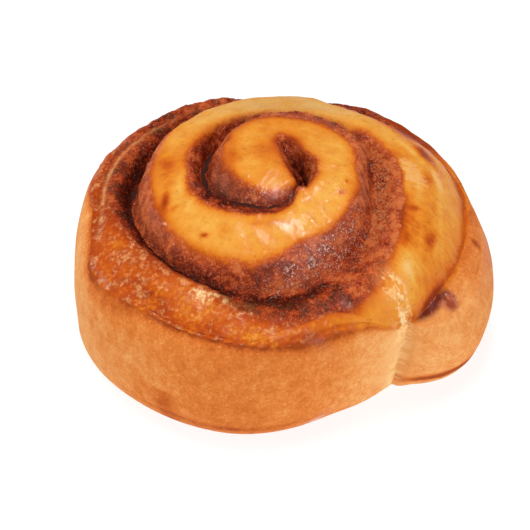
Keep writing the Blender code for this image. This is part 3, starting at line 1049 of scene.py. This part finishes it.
# %% Noise and colour helpers
def ragged(place, size_mm, detail=3.0, rough=0.6):
    """Noise with features of about this size, from 0 to 1."""
    sockets = {"Vector": place, "Scale": 1.0 / (size_mm * MM), "Detail": detail, "Roughness": rough}
    return node("TexNoise", sockets).outputs["Fac"]


def drift(size_mm):
    """The place of each point, pushed aside by noise, so that cells lose their straight sides."""
    sockets = {"Vector": place, "Scale": 0.8 / (size_mm * MM)}
    push = node("TexNoise", sockets).outputs["Color"]
    return node("Mix", {0: 0.0022, 4: place, 5: push}, data_type="VECTOR").outputs[1]


def beads(size_mm):
    """Round grains of about this size: 1 at the middle of each and 0 between them."""
    cells = node("TexVoronoi", {"Vector": drift(size_mm), "Scale": 1.0 / (size_mm * MM)})
    return spread(cells.outputs["Distance"], 0.62, 0.10)


def ramp(value, stops):
    """A colour ramp from (position, colour) pairs."""
    made = node("ValToRGB", {"Fac": value})
    elements = made.color_ramp.elements
    for position, colour in stops[2:]:
        elements.new(position)
    for element, (position, colour) in zip(elements, stops):
        element.position, element.color = position, (*colour, 1.0)
    return made.outputs["Color"]


def blend(amount, first, second):
    """The first colour, with this amount of the second laid over it."""
    first, second = [(*c, 1.0) if isinstance(c, tuple) else c for c in (first, second)]
    return node("Mix", {0: amount, 6: first, 7: second}, data_type="RGBA").outputs[2]


print("noise and colour helpers are ready")

# %% [markdown]
# Baked dough never goes grey: from straw to chestnut it keeps its red and loses its blue first.
# Each ramp has few stops, so that the tones between them stay in one family.

# %% Baked colours
GOLD = (  # straw, pale gold, gold, orange, chestnut
    (0.00, (0.86, 0.53, 0.190)),
    (0.22, (0.84, 0.385, 0.058)),
    (0.42, (0.77, 0.245, 0.021)),
    (0.62, (0.60, 0.108, 0.007)),
    (0.85, (0.30, 0.034, 0.004)),
)
STAINED = (  # light to dark cinnamon
    (0.06, (0.72, 0.185, 0.052)),
    (0.28, (0.54, 0.084, 0.021)),
    (0.56, (0.27, 0.029, 0.007)),
    (0.88, (0.062, 0.006, 0.002)),
)
WALL_TAN = (  # cream to brown
    (0.08, (0.90, 0.50, 0.20)),
    (0.28, (0.86, 0.36, 0.105)),
    (0.50, (0.76, 0.225, 0.044)),
    (0.75, (0.60, 0.135, 0.020)),
    (0.95, (0.38, 0.066, 0.010)),
)
FLECK, PIT, RUDDY = (0.40, 0.085, 0.014), (0.36, 0.055, 0.008), (0.55, 0.070, 0.010)
# The second of these is a painted shade: a duller gold for the back of the crown, where less light
# falls.
PEELED_SKIN, PAINTED_SHADE_GOLD = (0.94, 0.54, 0.20), (0.55, 0.26, 0.074)
# The first of these is dried froth made paler as painted sheen; it also colours the painted rim
# highlight.
FROTH_AND_SHEEN, BLUSH = (0.94, 0.44, 0.15), (0.66, 0.28, 0.160)
# Both are partly painted sheen: violet and pink casts of the wash, laid over sugar on the slopes.
VIOLET_SHEEN_TINT, GLAZE_SHEEN_TINT = (0.55, 0.150, 0.080), (0.76, 0.29, 0.19)
# The first of these is a painted glint: pale grains of colour standing in for highlights on sugar.
PAINTED_GLINT, GRANULE = (0.96, 0.68, 0.54), (0.82, 0.40, 0.17)
PALE_CRUMB, PALEST, WALL_CRUMB = (0.95, 0.53, 0.20), (1.0, 0.73, 0.36), (1.0, 0.67, 0.29)
TORN_CRUMB, CRUMB_EDGE = (0.84, 0.38, 0.12), (0.80, 0.27, 0.06)
SYRUP_BROWN, SYRUP_PINK = (0.36, 0.062, 0.022), (0.56, 0.17, 0.090)
# Painted shadow: the near black of the syrup patch under the seam's lip.
SEAM_SHADOW_DARK = (0.15, 0.016, 0.004)
print(len(GOLD) + len(STAINED) + len(WALL_TAN), "stops in three ramps")

# %% [markdown]
# A few noises of different sizes do all the work. The streaks read the place along the strip in
# place of the place in the room, because kneading and rolling pull the dough that way.

# %% Noises on the crust
crust, tree, shader = new_tree("crust")
place = node("TexCoord").outputs["Object"]
broad = ragged(place, 10.0, 2.0)
mid = ragged(place, 3.0, 3.0)
fine = ragged(place, 0.9, 3.0, 0.7)
grit = ragged(place, 0.35, 2.0)
grain = ragged(place, 0.75, 1.0, 0.4)
dots = ragged(place, 0.5, 1.0)
bubbles, sugar = beads(1.3), beads(0.7)
strip_axes = {"X": fact("along"), "Y": times(fact("across"), 0.3)}
strip_place = node("CombineXYZ", strip_axes).outputs[0]
streak_sockets = {"Vector": strip_place, "Scale": 1.1, "Detail": 3.0}
streak = node("TexNoise", streak_sockets).outputs["Fac"]
print(len(tree.nodes), "nodes for the noises")

# %% [markdown]
# The crown is gold. It toasts towards the stain, which gives the halo, and has flecks of burnt
# sugar, paler peeled skin at the right, and a ruddy tint where it is frothy. Its back is painted
# darker, as painted shade where less light falls.

# %% Golden crown
past = uneven(fact("past"), (broad, 2.0), (mid, 3.4), (fine, 2.6))
halo, bubbly = fading(past, 0.85), fact("bubbly")
tone = add(fact("tone"), times(halo, 0.52))
tone = uneven(tone, (broad, 0.42), (mid, 0.40), (fine, 0.20), (streak, 0.14))
tone = add(tone, times(bubbly, add(signed(mid, 0.7), signed(bubbles, -0.16))))
tone = add(tone, times(fact("streaky"), signed(streak, 0.18)))
gold = ramp(tone, GOLD)
speck = times(spread(fine, 0.60, 0.68), spread(mid, 0.45, 0.60))
gold = blend(times(speck, 0.4), gold, FLECK)
lifted = uneven(fact("peeled"), (mid, 1.4), (fine, 0.9), (streak, 1.4))
gold = blend(times(spread(lifted, 0.46, 0.82), 0.5), gold, PEELED_SKIN)
dotted = spread(add(dots, times(halo, 0.10), signed(mid, 0.2)), 0.70, 0.76)
gold = blend(times(dotted, 0.55), gold, PIT)
# Painted shade at the back of the crown.
gold = blend(fact("painted_back_shade"), gold, PAINTED_SHADE_GOLD)
gold = blend(times(bubbly, times(spread(broad, 0.25, 0.60), 0.42)), gold, RUDDY)
print(len(tree.nodes), "nodes with the crown")

# %% [markdown]
# Butter and cinnamon soaked into the slopes. The stain has ragged edges and is painted darker
# down in the groove, as painted shade. A violet tint shows where brown sugar stayed on top; it is
# partly a painted sheen of the wash.

# %% Cinnamon stain
stain = spread(past, 0.6, -0.6)
dark = uneven(fact("stain_tone"), (fine, 1.0), (mid, 1.6), (sugar, -0.30), (grit, 0.3), (broad, 0.9))
# Painted shade deepens the stain down in the groove.
dark = add(dark, times(fact("painted_groove_shade"), 0.40))
cinnamon = ramp(dark, STAINED)
# Violet: partly sugar, partly painted sheen of the wash on the slope.
violet_and_sheen = times(fact("violet_and_sheen"), spread(uneven(broad, (fine, 0.6)), 0.38, 0.62))
cinnamon = blend(times(violet_and_sheen, 0.6), cinnamon, VIOLET_SHEEN_TINT)
top_colour = blend(stain, gold, cinnamon)
print(len(tree.nodes), "nodes with the stain")

# %% [markdown]
# On top of both lie small things: dried froth, pits of burst bubbles, pink melted sugar and
# loose granules in the right groove. The froth and the pink sugar are partly painted sheen, and
# the pale grains on the stain and on the core's front are painted glints.

# %% Froth, glaze, grains and painted glints
# Dried froth, painted paler and pinker to stand in partly for the sheen of the wash.
froth_and_sheen = spread(uneven(mid, (fine, 0.6), (bubbles, 0.08)), 0.44, 0.76)
froth_and_sheen = times(times(bubbly, froth_and_sheen), rest_of(times(stain, 0.8)))
top_colour = blend(times(froth_and_sheen, 0.66), top_colour, FROTH_AND_SHEEN)
# A painted highlight: a pale line along the crest inside the left rim, where it catches the light.
painted_rim_highlight = times(fact("painted_rim_highlight"), spread(uneven(mid, (fine, 0.6)), 0.22, 0.56))
top_colour = blend(times(painted_rim_highlight, 0.75), top_colour, FROTH_AND_SHEEN)
pits = times(bubbly, spread(uneven(fine, (mid, 0.5)), 0.42, 0.32))
top_colour = blend(times(pits, 0.6), top_colour, PIT)
# Pink glaze, lightened as a painted sheen over the melted sugar.
glaze_and_sheen = times(fact("glaze_and_sheen"), spread(uneven(fine, (mid, 0.9), (sugar, 0.3)), 0.42, 0.66))
top_colour = blend(times(glaze_and_sheen, 0.8), top_colour, GLAZE_SHEEN_TINT)
# Painted glints: pale grains on the stain, most of all on the glaze, standing in for highlights.
painted_glints = times(stain, spread(uneven(sugar, (grit, 1.6), (mid, 1.2)), 0.62, 1.0))
painted_glints = times(painted_glints, add(glaze_and_sheen, 0.12))
# More painted glints, in a band along the core's front.
sugar_and_painted_glints = spread(uneven(sugar, (grit, 1.2), (mid, 1.4)), 0.40, 0.85)
sugar_and_painted_glints = times(fact("sugar_and_painted_glints"), sugar_and_painted_glints)
top_colour = blend(most(painted_glints, times(sugar_and_painted_glints, 0.75)), top_colour, PAINTED_GLINT)
crumbs = spread(uneven(sugar, (mid, 1.6), (fine, 0.8)), 0.20, 0.62)
top_colour = blend(times(times(fact("granules"), crumbs), 0.8), top_colour, GRANULE)
print(len(tree.nodes), "nodes with the grains")

# %% [markdown]
# Where the skin tore, the soft inside shows. It is pale and stringy along the strip, with a warm
# edge where it meets the crust.

# %% Torn crumb
pale = times(fact("pale"), spread(uneven(streak, (fine, 0.5), (mid, 0.6)), 0.28, 0.62))
crumb_light = blend(spread(mid, 0.46, 0.60), PALE_CRUMB, PALEST)
crumb_colour = blend(spread(uneven(fine, (streak, 0.8)), 0.42, 0.58), TORN_CRUMB, crumb_light)
crumb_colour = blend(spread(pale, 0.30, 0.80), CRUMB_EDGE, crumb_colour)
top_colour = blend(times(pale, 0.9), top_colour, crumb_colour)
print(len(tree.nodes), "nodes with the crumb")

# %% [markdown]
# The wall takes over below the rim, with fine flat freckles. Beside the tail a patch of syrup has
# run out of the seam, and the wall under it has a rosy blush. Next to the seam the patch is nearly
# black, a painted shadow under the seam's lip.

# %% Wall and syrup patch
flattened = node("Mapping", {"Vector": place, "Scale": (1, 1, 1.8)}).outputs[0]
freckle = ragged(flattened, 0.9, 2.0)
wall_tone = uneven(fact("wall_tone"), (broad, 0.30), (mid, 0.50), (fine, 0.34), (grain, 0.16))
wall_tone = calc("SUBTRACT", wall_tone, times(spread(freckle, 0.62, 0.72), 0.28))
wall_tone = add(wall_tone, times(fading(fact("skin"), 0.35), 0.16))
wall_pale = times(fact("pale"), spread(uneven(mid, (fine, 0.9)), 0.30, 0.60))
wall_colour = blend(times(wall_pale, 0.9), ramp(wall_tone, WALL_TAN), WALL_CRUMB)
skin = spread(uneven(fact("skin"), (mid, 2.4), (fine, 1.0)), -0.35, 0.35)
colour = blend(skin, top_colour, wall_colour)
patch = spread(uneven(fact("patch"), (mid, 0.3), (fine, 0.3)), 0.16, 0.72)
# Painted shadow: the patch turns near black next to the seam, under its lip.
seam_shadow = spread(uneven(fact("from_inner"), (mid, 1.5)), 2.5, 0.5)
runny = blend(spread(uneven(mid, (fine, 0.6)), 0.38, 0.62), SYRUP_BROWN, SYRUP_PINK)
colour = blend(patch, colour, blend(seam_shadow, runny, SEAM_SHADOW_DARK))
colour = blend(fact("blush"), colour, BLUSH)
put(shader, {"Base Color": colour})
print(len(tree.nodes), "nodes with the wall")

# %% [markdown]
# The shine is a coat over a rough crumb. It is thin on most of the crust, thick on the gleams and
# the glaze, and missing on the wall and on the darkest stain. The coat has a finer relief than the
# crumb below it, so that its glints break up into grains where there is sugar.

# %% Gloss
gloss = add(0.42, signed(mid, 0.16), times(skin, 0.16))
wash = times(rest_of(skin), spread(mid, 0.42, 0.62))
wash = times(wash, rest_of(times(stain, spread(dark, 0.50, 0.90))))
shine = most(fact("gleam"), most(times(patch, 0.35), times(glaze_and_sheen, 0.55)))
wash = calc("ADD", times(wash, 0.18), shine, clamp=True)
put(shader, {"Roughness": gloss, "Specular IOR Level": 0.02})
put(shader, {"Coat Weight": wash, "Coat Roughness": 0.13})
print(len(tree.nodes), "nodes with the gloss")

# %% Fine relief
height = add(times(sugar, times(stain, 0.22)), times(times(bubbles, bubbly), 0.25), times(fine, 0.5),
             times(grit, 0.2), mid, times(streak, 0.4))
roughness = add(0.35, times(stain, 0.5))
bump = node("Bump", {"Height": height, "Strength": roughness, "Distance": 0.001})
coat_height = add(times(sugar, times(stain, 0.5)), times(fine, 0.45), times(grit, 0.25),
                  times(mid, 1.3))
coat_relief = add(0.20, times(stain, 0.6), times(fact("sugar_and_painted_glints"), 0.5))
soft_bump = node("Bump", {"Height": coat_height, "Strength": coat_relief, "Distance": 0.0006})
put(shader, {"Normal": bump.outputs["Normal"], "Coat Normal": soft_bump.outputs["Normal"]})
dough.data.materials.append(crust)
print(len(tree.nodes), "nodes in the crust")

# %% [markdown]
# ## Cinnamon filling
# Brown sugar and cinnamon melt in the oven to a dark syrup that boils up in the grooves and sets
# there. It is one ribbon that follows the floor of the groove, slightly domed on top, and goes
# down between the turns. Its edges run under the dough, so no gap shows beside it.

# %% The ribbon of filling
FILLING_FROM, FILLING_TO, FILLING_SECTIONS, RIBBON_HALF = 76.0, 772.0, 1400, 0.9
RIBBON_BOTTOM, RIBBON_DOME, RIBBON_MERGE = 2.0, 0.3, 1e-7
RIBBON_ACROSS = np.array([-1.0, -1.0, -0.9, -0.6, -0.3, 0.0, 0.3, 0.6, 0.9, 1.0, 1.0])
FILLING_RISE = (  # how far its top lies above the floor of the groove
    (78, 0), (200, 0.1), (320, -0.1), (345, -0.9), (425, -0.9), (455, 0), (475, -0.8), (515, -0.2),
    (550, 0.1), (640, -0.2), (680, -1.2), (775, -1.5),
)

ribbon_angles = np.linspace(FILLING_FROM, FILLING_TO, FILLING_SECTIONS)
a, u = ribbon_angles[:, None], RIBBON_ACROSS[None, :]
half = RIBBON_HALF * (0.5 + along_strip(FLOOR_HALF, a))
ribbon_r = groove(a) + u * half
ribbon_top = groove_floor(a) + along_strip(FILLING_RISE, a)
lower_corner = np.arange(len(RIBBON_ACROSS))[None, :] % (len(RIBBON_ACROSS) - 1) == 0
ribbon_z = np.where(lower_corner, RIBBON_BOTTOM, ribbon_top - RIBBON_DOME * u**2)
filling = wound_grid("cinnamon_filling", ribbon_r, ribbon_z, ribbon_angles, {})
close_skin(filling, RIBBON_MERGE)
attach(filling, "root")
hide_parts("filling")
print("ribbon of", FILLING_SECTIONS, "sections")

# %% [markdown]
# The syrup is nearly black with brown grains. One noise gives both its colour and its bumps, so
# that the grains that stand up are the light ones.

# %% Syrup
SYRUP = ((0.3, (0.012, 0.002, 0.001)), (0.58, (0.07, 0.010, 0.002)), (0.8, (0.22, 0.045, 0.010)))

syrup, tree, shader = new_tree("syrup")
place = node("TexCoord").outputs["Object"]
grit = ragged(place, 0.8, 3.0, 0.7)
bump = node("Bump", {"Height": grit, "Strength": 0.8, "Distance": 0.0008})
put(shader, {"Base Color": ramp(grit, SYRUP), "Roughness": 0.45, "Specular IOR Level": 0.15,
             "Normal": bump.outputs["Normal"]})
filling.data.materials.append(syrup)
print(len(tree.nodes), "nodes in the syrup")
